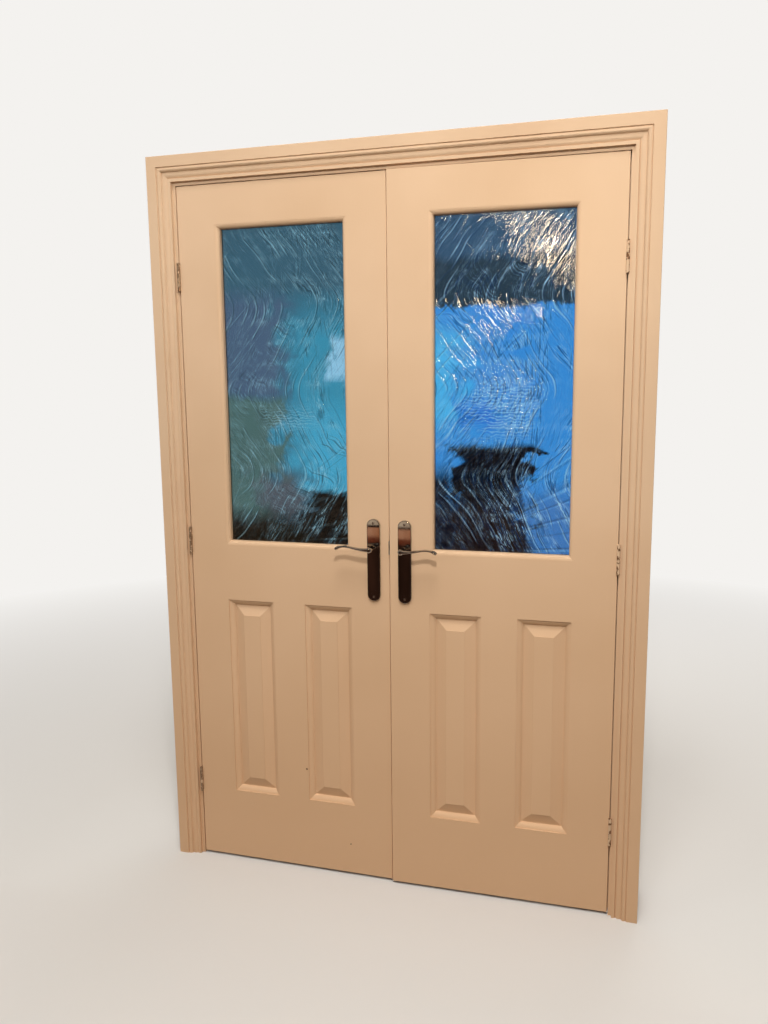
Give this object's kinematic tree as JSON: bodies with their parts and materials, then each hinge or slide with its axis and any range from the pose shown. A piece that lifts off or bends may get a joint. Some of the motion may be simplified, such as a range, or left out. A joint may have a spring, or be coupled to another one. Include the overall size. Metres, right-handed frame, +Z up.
{
  "type": "french doors",
  "caption": "Half-glazed, panelled french doors hung on butt hinges in a lining with mitred architraves, with scrolled lever handles on long plates.",
  "frame": {"origin": "on the floor, in the middle of the doorset's width and of its whole depth", "axes": "+X to the right as seen from the side the leaves open to, +Y from that side through the doorway, +Z up"},
  "size_m": [1.3854, 0.2114, 2.071],
  "materials": {
    "leaf_paint": "satin cream paint on smooth moulded wood",
    "frame_paint": "satin cream paint on planed softwood",
    "patterned_glass": "cast glass with a wavy relief",
    "handle_chrome": "polished chrome plate",
    "hinge_chrome": "polished chrome plate, dulled, with paint on the right-hand ones",
    "screw_steel": "plated steel screws",
    "latch_steel": "plain drawn steel"
  },
  "bodies": {
    "frame": {"left_jamb": "frame_paint", "right_jamb": "frame_paint", "head_lining": "frame_paint", "left_stop": "frame_paint", "right_stop": "frame_paint", "head_stop": "frame_paint", "front_left_architrave": "frame_paint", "front_right_architrave": "frame_paint", "front_head_architrave": "frame_paint", "back_left_architrave": "frame_paint", "back_right_architrave": "frame_paint", "back_head_architrave": "frame_paint", "left_bottom_frame_flap": "hinge_chrome", "left_middle_frame_flap": "hinge_chrome", "left_top_frame_flap": "hinge_chrome", "right_bottom_frame_flap": "hinge_chrome", "right_middle_frame_flap": "hinge_chrome", "right_top_frame_flap": "hinge_chrome", "left_hinge_pins": "hinge_chrome", "right_hinge_pins": "hinge_chrome", "frame_hinge_screws": "screw_steel"},
    "left_door": {"left_leaf": "leaf_paint", "left_glass": "patterned_glass", "left_hinge_bead": "leaf_paint", "left_top_bead": "leaf_paint", "left_meeting_bead": "leaf_paint", "left_bottom_bead": "leaf_paint", "left_bottom_leaf_flap": "hinge_chrome", "left_middle_leaf_flap": "hinge_chrome", "left_top_leaf_flap": "hinge_chrome", "left_hinge_screws": "screw_steel", "left_front_plate": "handle_chrome", "left_back_plate": "handle_chrome", "left_plate_screws": "screw_steel", "keep": "latch_steel", "keep_screws": "screw_steel"},
    "right_door": {"right_leaf": "leaf_paint", "right_glass": "patterned_glass", "right_hinge_bead": "leaf_paint", "right_top_bead": "leaf_paint", "right_meeting_bead": "leaf_paint", "right_bottom_bead": "leaf_paint", "right_bottom_leaf_flap": "hinge_chrome", "right_middle_leaf_flap": "hinge_chrome", "right_top_leaf_flap": "hinge_chrome", "right_hinge_screws": "screw_steel", "right_front_plate": "handle_chrome", "right_back_plate": "handle_chrome", "right_plate_screws": "screw_steel", "latch_case": "latch_steel", "latch_forend": "latch_steel", "latch_screws": "screw_steel"},
    "left_lever": {"left_front_lever": "handle_chrome", "left_back_lever": "handle_chrome", "left_spindle": "latch_steel"},
    "right_lever": {"right_front_lever": "handle_chrome", "right_back_lever": "handle_chrome", "right_spindle": "latch_steel", "latch_follower": "latch_steel"},
    "latch_bolt": {"latch_bolt": "latch_steel"}
  },
  "joints": [
    {"name": "left_door_swing", "type": "hinge", "parent": "frame", "child": "left_door", "pos_m": [-0.613, -0.04834, 0.997], "axis": [0, 0, -1], "range_deg": [0, 160]},
    {"name": "right_door_swing", "type": "hinge", "parent": "frame", "child": "right_door", "pos_m": [0.613, -0.04834, 0.997], "axis": [0, 0, 1], "range_deg": [-0.8, 159]},
    {"name": "left_lever_turn", "type": "hinge", "parent": "left_door", "child": "left_lever", "pos_m": [-0.04575, -0.04334, 0.997], "axis": [0, -1, 0], "range_deg": [0, 45], "stiffness_Nm_per_rad": 1.5, "springref_deg": -17.19},
    {"name": "right_lever_turn", "type": "hinge", "parent": "right_door", "child": "right_lever", "pos_m": [0.04573, -0.05126, 0.997], "axis": [-0.014, 0.9999, 0], "range_deg": [0, 45], "stiffness_Nm_per_rad": 1.5, "springref_deg": -17.19},
    {"name": "latch_bolt_slide", "type": "slide", "parent": "right_door", "child": "latch_bolt", "axis": [0.9999, 0.014, 0], "range_m": [0, 0.01]}
  ],
  "couplings": [
    {"joint": "latch_bolt_slide", "follows": "right_lever_turn", "m_per_rad": 0.01273}
  ]
}
